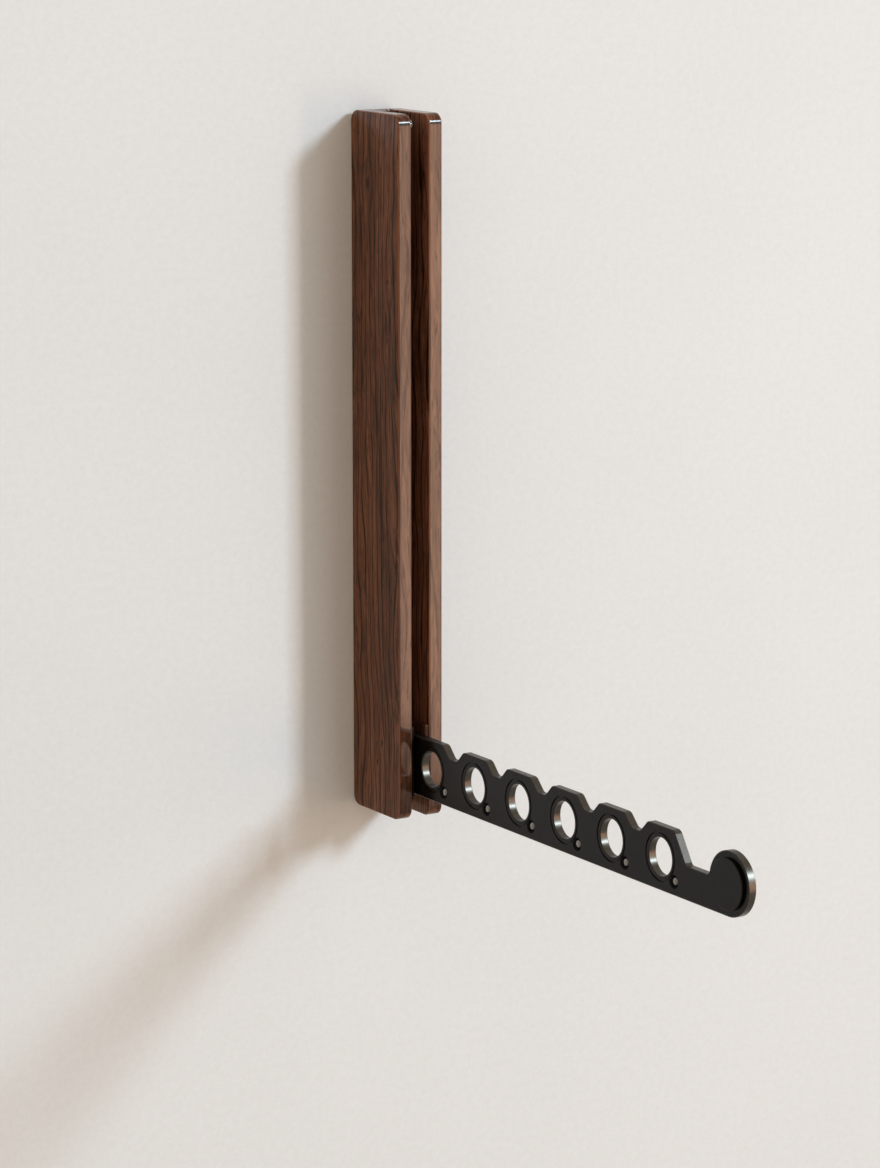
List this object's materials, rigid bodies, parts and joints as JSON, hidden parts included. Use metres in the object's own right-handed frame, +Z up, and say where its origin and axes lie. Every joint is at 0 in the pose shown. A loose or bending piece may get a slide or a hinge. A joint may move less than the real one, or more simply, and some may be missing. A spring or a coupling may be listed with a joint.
{
  "type": "folding clothes valet",
  "caption": "Wall mounted clothes valet: a slotted wooden body with a notched, pierced steel arm that folds up into the slot.",
  "frame": {"origin": "middle of the body's flat back face, at half its height, in the plane of the wall", "axes": "+Z up, +Y into the wall, +X to the right of someone who faces the wall; the arm stands out along -Y"},
  "size_m": [0.0286, 0.3692, 0.4],
  "materials": {
    "walnut": "gloss lacquer",
    "beech": "bare",
    "black_steel": "satin black",
    "polished_steel": "polished",
    "steel": "satin",
    "spring_steel": "bright",
    "brass": "turned",
    "bronze": "sintered",
    "nylon": "matt black",
    "felt": "felt"
  },
  "bodies": {
    "body": {"left_cheek": "walnut", "right_cheek": "walnut", "back_spine": "walnut", "left_root_pad": "walnut", "right_root_pad": "walnut", "cross_dowels": "beech", "left_pivot_bush": "brass", "right_pivot_bush": "brass", "pivot_pin": "steel", "left_thrust_washer": "nylon", "right_thrust_washer": "nylon", "disc_spring": "spring_steel", "heel_plate": "steel", "heel_plate_screws": "steel", "fold_bumper": "felt", "catch_barrel": "steel", "catch_spring": "spring_steel"},
    "arm": {"valet_arm": "black_steel", "arm_pivot_sleeve": "bronze", "hook_studs": "polished_steel"},
    "plunger": {"catch_plunger": "polished_steel"}
  },
  "joints": [
    {"name": "arm_fold", "type": "hinge", "parent": "body", "child": "arm", "pos_m": [0, -0.01675, -0.1575], "axis": [-1, 0, 0], "range_deg": [0, 90]},
    {"name": "catch_press", "type": "slide", "parent": "body", "child": "plunger", "axis": [-1, 0, 0], "range_m": [0, 0.0025], "stiffness_N_per_m": 800, "deforming": ["catch_spring"]}
  ]
}
